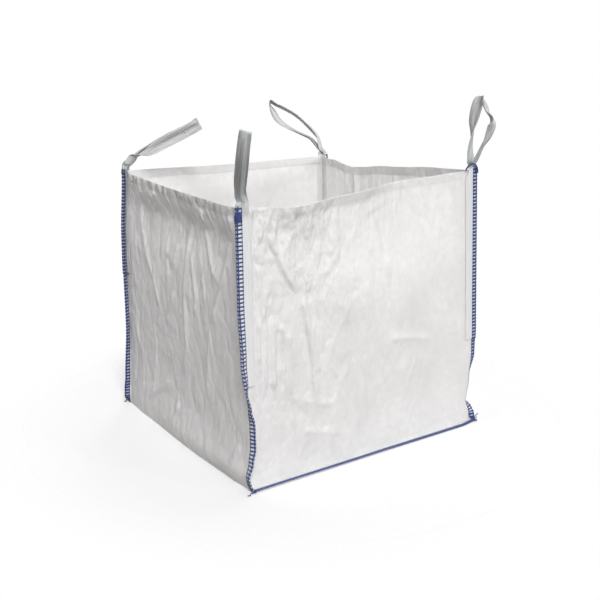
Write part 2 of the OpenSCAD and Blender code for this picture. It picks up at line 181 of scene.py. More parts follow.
# Creases, each as (rise, width on its left, width on its right, points along and up the wall)
# seen from outside: the ones that stand out on the two walls in view, drawn one by one.
creases = {
    "front": [
        (7, 3.5, 20, [(82, 815), (112, 745), (150, 668), (188, 610)]),
        (7.5, 3.5, 22, [(196, 610), (216, 500), (230, 400), (242, 200)]),
        (5, 4, 9, [(46, 720), (60, 520)]), (5, 4, 6, [(44, 560), (40, 290)]),
        (6, 4, 7, [(67, 560), (63, 290)]), (6, 4, 9, [(90, 560), (92, 280)]),
        (6, 4, 9, [(125, 530), (130, 260)]), (5, 5, 10, [(151, 500), (152, 250)]),
        (-3, 4, 8, [(186, 868), (222, 770)]), (2.4, 4, 9, [(206, 850), (214, 800), (240, 776)]),
        (1.6, 4, 8, [(130, 800), (150, 760)]), (-2, 4, 7, [(250, 820), (264, 750)]),
        (1.8, 4, 9, [(300, 820), (330, 742)]), (3, 12, 12, [(540, 386), (640, 372), (750, 342)]),
        (3, 4, 12, [(457, 610), (462, 500), (456, 430)]), (3, 5, 14, [(625, 640), (646, 390)]),
        (-4, 3.5, 6, [(654, 905), (660, 820), (663, 745)]), (3, 18, 16, [(158, 268), (312, 205)]),
        (3, 20, 18, [(195, 148), (371, 98)]), (5, 30, 60, [(330, 880), (345, 640), (372, 420)]),
        (3, 6, 24, [(392, 360), (420, 60)]), (3, 6, 20, [(300, 240), (330, 30)]),
        (-4, 30, 30, [(520, 830), (560, 640)]), (2, 9, 9, [(330, 700), (300, 668), (262, 650)]),
        (2, 8, 9, [(300, 610), (268, 560)])],
    "left": [
        *((2, 4, 5, line) for line in (    # short upright ones under the rim
            [(131, 890), (118, 800)], [(275, 890), (262, 770)], [(334, 890), (322, 800), (338, 760)],
            [(368, 890), (378, 780)], [(432, 890), (428, 760)], [(580, 890), (572, 765)],
            [(659, 890), (668, 770)], [(729, 890), (716, 770)], [(196, 890), (206, 790)],
            [(770, 890), (764, 760)], [(620, 890), (612, 790)])),
        (2, 4, 6, [(539, 890), (530, 740)]), (2.4, 4, 6, [(122, 892), (94, 820)]),
        (2.4, 5, 6, [(294, 892), (250, 780)]), (-5, 12, 6, [(440, 895), (456, 760)]),
        (3, 5, 10, [(490, 895), (506, 760)]), (2.4, 5, 8, [(552, 890), (582, 760)]),
        (-5, 22, 20, [(613, 872), (720, 800)]), (5, 7, 10, [(404, 540), (370, 480), (325, 398)]),
        (6, 6, 13, [(118, 800), (128, 740), (169, 654), (245, 544), (310, 412)]),
        (6, 6, 14, [(492, 790), (484, 452), (488, 378), (455, 292), (438, 239)]),
        (5, 8, 9, [(602, 790), (650, 690), (713, 620)]),
        (6, 9, 6, [(766, 780), (730, 660), (686, 564), (650, 470)]),
        (4, 10, 12, [(415, 138), (365, 37)]), (4, 6, 7, [(808, 130), (756, 55)]),
        (4, 14, 14, [(164, 84), (370, 208)]), (4, 7, 16, [(640, 470), (610, 210)]),
        (4, 7, 14, [(240, 330), (210, 90)]), (5, 5, 9, [(520, 700), (560, 560), (548, 470)]),
        (4, 5, 8, [(600, 640), (620, 540)]), (4, 6, 8, [(420, 700), (392, 620)]),
        (4, 6, 9, [(330, 720), (352, 640)])],
    "right": [
        (5, 10, 16, [(180, 780), (230, 520), (210, 300)]), (5, 9, 14, [(520, 800), (470, 560)]),
        (-5, 12, 14, [(640, 880), (620, 740)]), (4, 18, 18, [(330, 240), (520, 150)])],
    "rear": [
        (5, 6, 16, [(260, 740), (300, 560), (290, 300)]), (5, 7, 14, [(600, 720), (640, 520)]),
        (-5, 9, 12, [(430, 740), (440, 560)]), (4, 18, 18, [(180, 200), (380, 130)])],
}
creaseForm = {"level": 0.2, "turn": 3, "round": 2, "fadeIn": 0.12, "fadeOut": 0.25, "handDrawn": 1.5,
              "clearCorner": (27, 20), "clearFoot": 40, "stiffRim": 0.3, "waist": 0.4}
minorCreases = {    # seeded small ones: how many, length, rise, width, lean from upright in degrees
    "rim": {"count": 84, "length": (50, 140), "rise": (1.2, 3.4), "width": (3, 5), "lean": 14},
    "tall": {"count": 70, "length": (90, 300), "rise": (1.2, 3.6), "width": (4, 10), "lean": 30},
    "facet": {"count": 170, "length": (25, 90), "rise": (0.6, 2.0), "width": (4, 8), "lean": 90},
}
minorForm = {"underRim": (-10, 30), "low": 60, "high": 20, "bend": 14, "lopsided": 1.6,
             "upright": 1.6, "crinkle": (70, 1.3, 28, 0.5)}    # size and height of the broad and fine crinkle


def creaseHeight(x, z, rise, left, right, points):
    form, points = creaseForm, np.array(points, float)
    best = np.full(x.shape, np.inf)
    side = np.zeros(x.shape)
    place = np.zeros(x.shape)
    steps = np.linalg.norm(np.diff(points, axis=0), axis=1)
    before = np.concatenate([[0], np.cumsum(steps)])
    for i, step in enumerate(steps):
        way = (points[i + 1] - points[i]) / step
        normal = np.array([-way[1], way[0]])
        level = abs(normal[0]) <= form["level"]    # for a level crease, its right is its upper side
        normal *= 1 if (normal[1] if level else normal[0]) > 0 else -1
        dx, dz = x - points[i][0], z - points[i][1]
        run = np.clip(dx * way[0] + dz * way[1], 0, step)
        gap = np.hypot(dx - run * way[0], dz - run * way[1])
        nearer = gap < best
        best = np.where(nearer, gap, best)
        side = np.where(nearer, dx * normal[0] + dz * normal[1], side)
        place = np.where(nearer, before[i] + run, place)
    width = left + (right - left) * (0.5 + 0.5 * np.tanh(side / form["turn"]))
    share = place / before[-1]
    taper = smooth(share / form["fadeIn"]) * smooth((1 - share) / form["fadeOut"])
    return rise * taper * np.exp(-(np.sqrt(best * best + form["round"] ** 2) - form["round"]) / width)


def minorLines(span, tall, seed):
    rng, form = np.random.default_rng(seed), minorForm
    lines = []
    for kind, m in minorCreases.items():
        for _ in range(m["count"]):
            length = rng.uniform(*m["length"])
            turn = rng.uniform(-m["lean"], m["lean"]) if kind == "facet" else rng.normal(0, m["lean"] / 2)
            lean = math.radians(turn)
            x = rng.uniform(0, span)
            if kind == "rim":
                top = tall - rng.uniform(*form["underRim"])
            else:
                top = rng.uniform(form["low"], tall - form["high"])
            foot = (x + length * math.sin(lean), top - length * math.cos(lean))
            bend = ((x + foot[0]) / 2 + rng.normal(0, length / form["bend"]), (top + foot[1]) / 2)
            rise = rng.uniform(*m["rise"]) * rng.choice([-1, 1, 1])
            left, right = rng.uniform(*m["width"]), rng.uniform(*m["width"]) * form["lopsided"]
            lines.append((rise, left, right, [(x, top), bend, foot]))
    return lines


for name, wall in walls.items():
    left, right = corners[wall["left"]], corners[wall["right"]]
    across = left["footPoint"] + left["rimPoint"] - right["footPoint"] - right["rimPoint"]
    wall["span"] = np.linalg.norm(across / 2)
    wall["tall"] = (left["tall"] + right["tall"]) / 2
    wall["outVec"] = np.array(wall["out"], float)
    wall["major"] = [(creaseForm["handDrawn"] * line[0], *line[1:]) for line in creases[name]]
    wall["minor"] = minorLines(wall["span"], bag["height"], wall["seed"])


def crumple(wall, s, t):    # how creased the cloth is over a wall: nought is smooth and one is usual
    return ease(wall["crumpleAcross"], s) * ease(wall["crumpleUp"], t)


def wallPush(wall, s, t):    # how far the cloth stands out of the plane of its two seam lines
    x, z = s * wall["span"], t * bag["height"]
    form = np.zeros(np.broadcast(s, t).shape)
    for line in wall["minor"]:
        form += creaseHeight(x, z, *line)
    form *= crumple(wall, s, t)
    for line in wall["major"]:
        form += creaseHeight(x, z, *line)
    broad, high, fine, low = minorForm["crinkle"]
    seed, tallness = wall["seed"], minorForm["upright"]
    ripple = [high * noise.noise((a / broad, b / broad / tallness, seed))
              + low * noise.noise((a / fine, b / fine, seed)) for a, b in zip(x.ravel(), z.ravel())]
    form += np.array(ripple).reshape(form.shape)
    clear, fade = creaseForm["clearCorner"]
    edge = np.minimum(s, 1 - s) * wall["span"]
    form *= smooth((edge - clear) / fade) * smooth(z / creaseForm["clearFoot"])
    form *= 1 - creaseForm["stiffRim"] * smooth(formShare("stiff", t))
    form += wall["bow"] * np.sin(np.pi * s) ** 2 * np.sin(np.pi * np.clip(t, 0, 1))
    form += ease(wall["foot"], s) * (1 - smooth(formShare("foot", t)))
    flare = smooth(formShare("flare", t))    # the rim stands out over a waist just below it
    waist = creaseForm["waist"] * smooth(formShare("waist", t)) * (1 - flare)
    form += ease(wall["flare"], s) * (flare - waist)
    form += ease(wall["tip"], s) * formShare("tip", t)
    return form - ease(wall["dent"], s) * smooth(formShare("dent", t))


def wallPoint(wall, s, t, lift=0.0):
    s, t = np.broadcast_arrays(np.asarray(s, float), np.asarray(t, float))
    left, right = corners[wall["left"]], corners[wall["right"]]
    low = seamLine(left, t * left["tall"])
    place = low + (seamLine(right, t * right["tall"]) - low) * s[..., None]
    place = place + wall["outVec"] * (wallPush(wall, s, t) + lift)[..., None]
    place[..., 2] -= ease(wall["sag"], s) * smooth(formShare("sag", t))
    return place


# Meshes
sharpAngle = math.radians(62)    # crisp edges where the cloth was cut or folded hard


def addPiece(name, data):
    piece = bpy.data.objects.new(name, data)
    scene.collection.objects.link(piece)
    return piece


def bakeModifiers(piece):
    graph = bpy.context.evaluated_depsgraph_get()
    mesh = bpy.data.meshes.new_from_object(piece.evaluated_get(graph), depsgraph=graph)
    mesh.name = piece.name
    piece.modifiers.clear()
    piece.data = mesh


def makeMesh(name, verts, faces, uvs, material, thickness=0.0, crumpleAndShade=None):
    mesh = bpy.data.meshes.new(name)
    mesh.from_pydata((np.asarray(verts) * millimetre).tolist(), [], faces)
    layer = mesh.uv_layers.new(name="clothLength")    # lengths along the cloth, in metres
    loops = np.empty(len(mesh.loops), np.int32)
    mesh.loops.foreach_get("vertex_index", loops)
    layer.data.foreach_set("uv", (np.asarray(uvs)[loops] * millimetre).astype(np.float32).ravel())
    # per-point share: on cloth how crumpled it is; on a strap how crumpled the loop is and how far its
    # painted shade has come in
    if crumpleAndShade is not None:
        mesh.attributes.new("crumpleAndShade", "FLOAT", "POINT").data.foreach_set("value", crumpleAndShade.astype(np.float32))
    mesh.materials.append(material)
    piece = addPiece(name, mesh)
    if thickness:
        solid = piece.modifiers.new("thickness", "SOLIDIFY")
        solid.thickness = thickness * millimetre
        solid.offset = 0
        bakeModifiers(piece)
    piece.data.shade_smooth()
    piece.data.set_sharp_from_angle(angle=sharpAngle)
    return piece


def gridFaces(shape, skip=lambda row, col: False):
    rows, cols = shape
    return [(r * cols + c, r * cols + c + 1, (r + 1) * cols + c + 1, (r + 1) * cols + c)
            for r in range(rows - 1) for c in range(cols - 1) if not skip(r, c)]


def usedOnly(verts, faces, *values):    # drops grid points that no face uses
    used = np.unique(np.array(faces))
    index = np.full(len(verts), -1)
    index[used] = np.arange(len(used))
    return verts[used], index[np.array(faces)].tolist(), *(value[used] for value in values)


def tube(points, radius, sides=7):    # verts and faces of a round thread along points
    points = np.asarray(points, float)
    way = unit(np.gradient(points, axis=0))
    side = np.cross(way[0], [0.31, 0.17, 0.93])    # any way that no thread sets out along
    turns = np.linspace(0, 2 * np.pi, sides, endpoint=False)
    verts = []
    for p, w in zip(points, way):
        side = unit(side - (side @ w) * w)
        other = np.cross(w, side)
        verts += [p + radius * (math.cos(a) * side + math.sin(a) * other) for a in turns]
    last = (len(points) - 1) * sides
    around = [(j, (j + 1) % sides) for j in range(sides)]
    faces = [(i + a, i + b, i + sides + b, i + sides + a) for i in range(0, last, sides) for a, b in around]
    return np.array(verts), faces + [tuple(range(sides))[::-1], tuple(range(last, last + sides))]


# Materials

def tone(hexColour):
    values = [int(hexColour[i:i + 2], 16) / 255 for i in (1, 3, 5)]
    return [v / 12.92 if v <= 0.04045 else ((v + 0.055) / 1.055) ** 2.4 for v in values] + [1]


def plug(node, inputs):    # links a socket, or a node's first one, and sets anything else as a constant
    for key, value in inputs.items():
        source = value.outputs[0] if isinstance(value, bpy.types.Node) else value
        if isinstance(source, bpy.types.NodeSocket):
            node.id_data.links.new(source, node.inputs[key])
        else:
            node.inputs[key].default_value = source
    return node


def addNode(tree, kind, inputs=None, **settings):    # a kind without Node in it is a shader node
    node = tree.nodes.new(kind if "Node" in kind else "ShaderNode" + kind)
    for key, value in settings.items():
        setattr(node, key, value)
    return plug(node, inputs or {})


def newMaterial(name):
    material = bpy.data.materials.new(name)
    material.use_nodes = True
    tree = material.node_tree
    return (material, functools.partial(addNode, tree), tree.nodes["Principled BSDF"],
            tree.nodes["Material Output"])


def mottled(add, value, low, high, dark, light):    # from dark to light as a value goes from low to high
    ramp = add("MapRange", {"Value": value, "From Min": low, "From Max": high})
    return add("Mix", {0: ramp, 6: dark, 7: light}, data_type="RGBA").outputs[2]


def wovenTape(add, uv, tape):    # height of flat tapes that pass over and under each other
    scaled = add("VectorMath", {0: uv, "Scale": perMetre / tape}, operation="SCALE")
    parts = add("SeparateXYZ", {0: scaled})
    hump = []
    for axis in "XY":
        turn = add("Math", {0: parts.outputs[axis], 1: math.pi}, operation="MULTIPLY")
        wave = add("Math", {0: turn}, operation="SINE")
        hump.append(add("Math", {0: wave}, operation="ABSOLUTE"))
    over = add("TexChecker", {"Vector": scaled, "Scale": 1.0, "Color1": (1, 1, 1, 1),
                              "Color2": (0, 0, 0, 1)})
    return add("Mix", {0: over.outputs["Fac"], 2: hump[0], 3: hump[1]})


def clothMaterial():
    # Woven polypropylene tape with a thin clear coating: off-white, a soft broad gloss, and light
    # that comes a little way through. Tapes are 2.5 mm wide, drawn 4 mm wide so that they show.
    look = {"white": "#f8f7f7", "grey": "#ecebeb", "tape": 4.0, "cloud": 160, "rub": 22, "warp": 0.05,
            "blotch": (0.15, 0.42), "through": "#f6f5f4", "share": 0.34, "crumple": (62, 27, 14), "tall": 2.5,
            "fullRise": 60}
    material, add, shader, output = newMaterial("coatedWovenPolypropylene")
    uv = add("UVMap", uv_map="clothLength")
    place = add("TexCoord").outputs["Object"]
    cloud, rub = (add("TexNoise", {"Vector": place, "Scale": perMetre / look[key], "Detail": detail}).outputs
                  for key, detail in (("cloud", 4.0), ("rub", 5.0)))
    blotch = add("Math", {0: cloud["Fac"], 1: rub["Fac"]}, operation="MULTIPLY")
    colour = mottled(add, blotch, *look["blotch"], tone(look["grey"]), tone(look["white"]))
    gloss = add("MapRange", {"Value": rub["Fac"], "To Min": 0.38, "To Max": 0.58})
    weave = wovenTape(add, uv, look["tape"])
    fine = add("Bump", {"Height": weave, "Strength": 0.12, "Distance": 0.0006})
    bent = add("VectorMath", {0: cloud["Color"], "Scale": look["warp"]}, operation="SCALE")
    warped = add("VectorMath", {0: uv, 1: bent})
    height = None
    for size in look["crumple"]:    # creases along the borders of irregular cells, taller than wide
        scale = (perMetre / size, perMetre / look["tall"] / size, 1)
        cell = add("Mapping", {"Vector": warped, "Scale": scale})
        edge = add("TexVoronoi", {"Vector": cell, "Scale": 1.0}, feature="DISTANCE_TO_EDGE")
        lift = add("MapRange", {"Value": edge.outputs["Distance"], "From Max": 0.35,
                                "To Max": size / look["fullRise"]})
        height = lift if height is None else add("Math", {0: height, 1: lift})
    # on cloth this share only scales the crumple bumps; no shade is painted
    crumpleAndShade = add("Attribute", attribute_name="crumpleAndShade").outputs["Fac"]
    shown = add("Math", {0: height, 1: crumpleAndShade}, operation="MULTIPLY")
    dents = add("Bump", {"Height": shown, "Strength": 0.75, "Distance": 0.004, "Normal": fine})
    plug(shader, {"Base Color": colour, "Roughness": gloss, "Normal": dents, "IOR": 1.49})
    through = add("BsdfTranslucent", {"Color": tone(look["through"]), "Normal": dents})
    plug(output, {0: add("MixShader", {0: look["share"], 1: shader, 2: through})})
    return material


def strapMaterial():
    # Folded tape of the same yarn, uncoated: satin, with ribs along its length, and darker on the
    # loops, where shade is painted into the colour. Streaks and rumples have a width and a length in
    # millimetres.
    # each streak tone is a pair: unshaded, then with painted shade
    look = {"light": ("#e8e8e8", "#d6d7d7"), "dark": ("#d8d9d9", "#a4a5a5"), "rib": 3.2,
            "streak": (4, 90, 3.0), "rumple": (13, 70, 2.0), "contrast": (0.3, 0.7)}
    material, add, shader, _ = newMaterial("wovenStrapTape")
    uv = add("UVMap", uv_map="clothLength")
    crumpleAndShade = add("Attribute", attribute_name="crumpleAndShade").outputs["Fac"]
    grain = {}
    for key in ("streak", "rumple"):
        wide, long, detail = look[key]
        stretched = add("Mapping", {"Vector": uv, "Scale": (perMetre / wide, perMetre / long, 1)})
        pattern = add("TexNoise", {"Vector": stretched, "Scale": 1.0, "Detail": detail})
        grain[key] = pattern.outputs["Fac"]
    # painted shade: the tone darkens from unshaded to shaded as the share rises up the loop
    shades = [add("Mix", {0: crumpleAndShade, 6: tone(shadeOnset), 7: tone(paintedShade)}, data_type="RGBA").outputs[2]
              for shadeOnset, paintedShade in (look["dark"], look["light"])]
    colour = mottled(add, grain["streak"], *look["contrast"], *shades)
    weave = wovenTape(add, uv, look["rib"])
    ribs = add("Bump", {"Height": weave, "Strength": 0.07, "Distance": 0.0006})
    shown = add("Math", {0: grain["rumple"], 1: crumpleAndShade}, operation="MULTIPLY")
    dents = add("Bump", {"Height": shown, "Strength": 0.6, "Distance": 0.003, "Normal": ribs})
    plug(shader, {"Base Color": colour, "Normal": dents, "Roughness": 0.55, "IOR": 1.49})
    return material


def threadMaterial(name, light, dark, pitch):
    # Bulked twisted yarn: matt, mottled along its length by the twist.
    contrast = (0.3, 0.7)
    material, add, shader, _ = newMaterial(name)
    place = add("TexCoord").outputs["Object"]
    noisy = add("TexNoise", {"Vector": place, "Scale": perMetre / pitch, "Detail": 3.0})
    fleck = noisy.outputs["Fac"]
    colour = mottled(add, fleck, *contrast, tone(dark), tone(light))
    bump = add("Bump", {"Height": fleck, "Strength": 0.5, "Distance": 0.0006})
    plug(shader, {"Base Color": colour, "Normal": bump, "Roughness": 0.8, "Sheen Weight": 0.2})
    return material


cloth = clothMaterial()
strapTape = strapMaterial()
blueYarn = threadMaterial("blueBulkedYarn", "#3b539a", "#1a2654", 3.0)
whiteYarn = threadMaterial("whiteSewingThread", "#eeeeea", "#d8d8d4", 2.0)
print("materials made")

# Panels: cloth with seam allowances along its sides and a hem turned in along the rim
panel = {"layer": 0.5, "hemGap": 1.2, "hemPucker": 1.0, "puckers": (9, 60, 5.0, 0.35), "hemTop": 0.8,
         "hemTurn": 1}
flange = np.array([24, 18, 12, 6], float)    # columns of an allowance, from its edge in to the seam
flangeCount = len(flange)


def footFrame(wall):    # way of the allowance along the floor, which stands up a little, and its upper side
    tilt, up, out = math.radians(bag["footTilt"]), np.array([0.0, 0.0, 1.0]), wall["outVec"]
    return math.cos(tilt) * out + math.sin(tilt) * up, math.cos(tilt) * up - math.sin(tilt) * out


def footEdge(wall, s):
    return wallPoint(wall, s, np.zeros(np.shape(s)))


def wallGrid(wall, ends, s, levels, layer):    # a wall between the two allowances at its sides
    body = wallPoint(wall, *np.meshgrid(s, levels), lift=panel["layer"])
    columns = []
    for c in (corners[end] for end in ends):
        line = seamLine(c, levels * c["tall"])
        way, face = seamFrame(c, levels * c["tall"])
        columns.append(line[:, None] + way[:, None] * flange[None, :, None] + face[:, None] * layer)
    return np.concatenate([columns[0], body, columns[1][:, ::-1]], axis=1)


def hemGrid(wall, s, depths):    # the turned-in hem, from the rim down its inner side, as wide as a wallGrid
    across, down, shift, bias = panel["puckers"]
    rows = []
    for depth in depths:
        wave = np.array([noise.noise((x * across, depth / down, wall["seed"] + shift)) for x in s])
        slack = depth / bag["hem"] * (depth < bag["hem"])    # the stitched edge lies close
        gap = panel["hemGap"] + panel["hemPucker"] * np.clip(wave + bias, 0, 1) * slack
        row = wallPoint(wall, s, np.full(s.shape, 1 - depth / wall["tall"])) - wall["outVec"] * gap[:, None]
        row[:, 2] += panel["hemTop"] * (depth == 0)
        rows.append(np.pad(row, ((flangeCount, flangeCount), (0, 0)), mode="edge"))
    return np.array(rows)


def hemLengths(depths):
    return bag["height"] + np.array(depths) + panel["hemTurn"]


def nearSide(col, cols, margin):    # whether a face lies within so many columns of a grid's sides
    return col < margin or col >= cols - margin - 1


def clothPiece(name, verts, faces, across, upward, creased):
    uvs = np.stack(np.meshgrid(across, upward), axis=-1).reshape(-1, 2)
    verts, faces, uvs, creased = usedOnly(verts.reshape(-1, 3), faces, uvs, creased.ravel())
    piece = makeMesh(name, verts, faces, uvs, cloth, bag["cloth"], creased)
    print(name, len(piece.data.polygons), "faces")
    return piece


# Front and rear panels: one cloth each, with an allowance along the floor too
endPanel = {"cell": 4.2, "cellUp": 6.4, "floorLayer": 3.5, "hemRows": (0.0, 6, 13, 20, 28)}


def makeEndPanel(name, wallName):
    spec, wall = endPanel, walls[wallName]
    s = evenly(0, 1, wall["span"], spec["cell"])
    t = evenly(0, 1, bag["height"], spec["cellUp"])
    grid = wallGrid(wall, (wall["left"], wall["right"]), s, t, panel["layer"])
    grid[..., 2] = np.maximum(grid[..., 2], spec["floorLayer"])
    foot = grid[0] + footFrame(wall)[0] * flange[:, None, None]
    verts = np.concatenate([foot, grid, hemGrid(wall, s, spec["hemRows"])])
    rows, cols = verts.shape[:2]
    firstHem = rows - len(spec["hemRows"])
    hemEnd = flangeCount + int(bag["hemStop"] / spec["cell"]) + 1

    def skip(row, col):
        if row < flangeCount:
            return nearSide(col, cols, flangeCount)
        return row >= firstHem - 1 and nearSide(col, cols, hemEnd)
    across = np.concatenate([-flange, s * wall["span"], wall["span"] + flange[::-1]])
    upward = np.concatenate([-flange, t * bag["height"], hemLengths(spec["hemRows"])])
    shares = np.meshgrid(np.clip(across / wall["span"], 0, 1), np.clip(upward / bag["height"], 0, 1))
    return clothPiece(name, verts, gridFaces((rows, cols), skip), across, upward, crumple(wall, *shares))


# U-panel: left wall, base and right wall in one cloth
uPanel = {"cell": 4.6, "leftCell": 8, "rightCell": 14, "baseCell": 26, "flangeLayer": 0.8, "baseLayer": 0.6,
          "edgeLayer": 2.2, "edgeRise": 40, "hemRows": (0.0, 9, 18, 28), "ruck": 5, "rucks": (7, 6, 3.3),
          "ruckFade": 8, "creased": 0.5}


def basePoint(q, r):    # q from left to right, r from front to rear, between the four bowed foot edges
    front, rear = footEdge(walls["front"], q), footEdge(walls["rear"], 1 - q)
    left, right = footEdge(walls["left"], 1 - r), footEdge(walls["right"], r)
    q, r = q[..., None], r[..., None]
    fl, fr, rr, rl = (c["footPoint"] for c in corners.values())
    flat = (1 - q) * (1 - r) * fl + q * (1 - r) * fr + q * r * rr + (1 - q) * r * rl
    return (1 - r) * front + r * rear + (1 - q) * left + q * right - flat


def makeUPanel(name):
    spec, span = uPanel, walls["left"]["span"]
    r = evenly(0, 1, span, spec["cell"])
    tLeft = evenly(1, 0, bag["height"], spec["leftCell"])
    tRight = evenly(0, 1, bag["height"], spec["rightCell"])
    blocks = []
    for wallName, s, levels in (("left", 1 - r, tLeft), ("right", r, tRight)):
        ends = ("front_" + wallName, "rear_" + wallName)
        grid = wallGrid(walls[wallName], ends, s, levels, -spec["flangeLayer"])
        hem = hemGrid(walls[wallName], s, spec["hemRows"])
        blocks.append(np.concatenate([hem[::-1], grid] if wallName == "left" else [grid, hem]))
    q = evenly(0, 1, bag["width"], spec["baseCell"])[1:-1]
    gridQ, gridR = np.meshgrid(q, r, indexing="ij")
    floor = basePoint(gridQ, gridR)
    along, across, shift = spec["rucks"]
    ruck = [abs(noise.noise((a * along, b * across, shift))) for a, b in zip(gridQ.ravel(), gridR.ravel())]
    inside = np.minimum(gridQ, 1 - gridQ) * np.minimum(gridR, 1 - gridR) * spec["ruckFade"]
    raised = 1 - smooth(np.minimum(gridR, 1 - gridR) * span / spec["edgeRise"])
    floor[..., 2] = (spec["baseLayer"] + (spec["edgeLayer"] - spec["baseLayer"]) * raised
                     + spec["ruck"] * np.array(ruck).reshape(inside.shape) * np.clip(inside, 0, 1))
    front = floor[:, :1] + footFrame(walls["front"])[0] * flange[None, :, None]
    rear = floor[:, -1:] + footFrame(walls["rear"])[0] * flange[None, ::-1, None]
    verts = np.concatenate([blocks[0], np.concatenate([front, floor, rear], axis=1), blocks[1]])
    rows, cols = verts.shape[:2]
    lowest = np.full(cols, spec["baseLayer"])
    lowest[:flangeCount + 1] = lowest[-flangeCount - 1:] = spec["edgeLayer"]
    verts[..., 2] = np.maximum(verts[..., 2], lowest)
    hemCount = len(spec["hemRows"])
    hemEnd = flangeCount + int(bag["hemStop"] / spec["cell"]) + 1

    def skip(row, col):
        return nearSide(col, cols, hemEnd) and (row < hemCount or row >= rows - hemCount - 1)
    hemUp = hemLengths(spec["hemRows"])
    upward = np.concatenate([-hemUp[::-1], -tLeft * bag["height"], q * bag["width"],
                             bag["width"] + tRight * bag["height"], bag["width"] + hemUp])
    across = np.concatenate([-flange, r * span, span + flange[::-1]])
    faces = [f[::-1] for f in gridFaces((rows, cols), skip)]
    creased = np.full((rows, cols), spec["creased"])
    leftUp = np.concatenate([np.ones(hemCount), tLeft])
    halfway = 0.5    # across the wall
    creased[:len(leftUp)] = crumple(walls["left"], halfway, leftUp)[:, None]
    return clothPiece(name, verts, faces, across, upward, creased)


frontCloth = makeEndPanel("cloth_front_panel", "front")
rearCloth = makeEndPanel("cloth_rear_panel", "rear")
uCloth = makeUPanel("cloth_u_panel")

# Straps: sewn down one side of a corner seam, over in a loop, and down the other side. A route point is
# millimetres right, up and away from the rim corner as the photo shows it, then the way of the width.
viewAxes = np.array([(0.819, -0.574, 0), (0.154, 0.22, 0.963), (0.553, 0.788, -0.269)])
# shadeOnset is the length in millimetres over which a strap's painted shade comes in
strap = {"columns": 25, "legStep": 10, "steps": 7, "endLayer": 2.4, "sideLayer": 2.7, "rootSpread": 3,
         "rootLead": 14, "rootHeight": 6.3, "join": 30, "stand": 60, "shadeOnset": 10, "tipFlat": 24, "folds": 1.1,
         "foldShift": 0.1, "foldLimit": 4.5, "camber": 2.5, "camberIn": 150, "camberMiddle": 0.35,
         "ridge": 0.3, "ridges": 3, "legBulge": 3.0, "pinch": [(-30, 1), (0, 0.8)]}
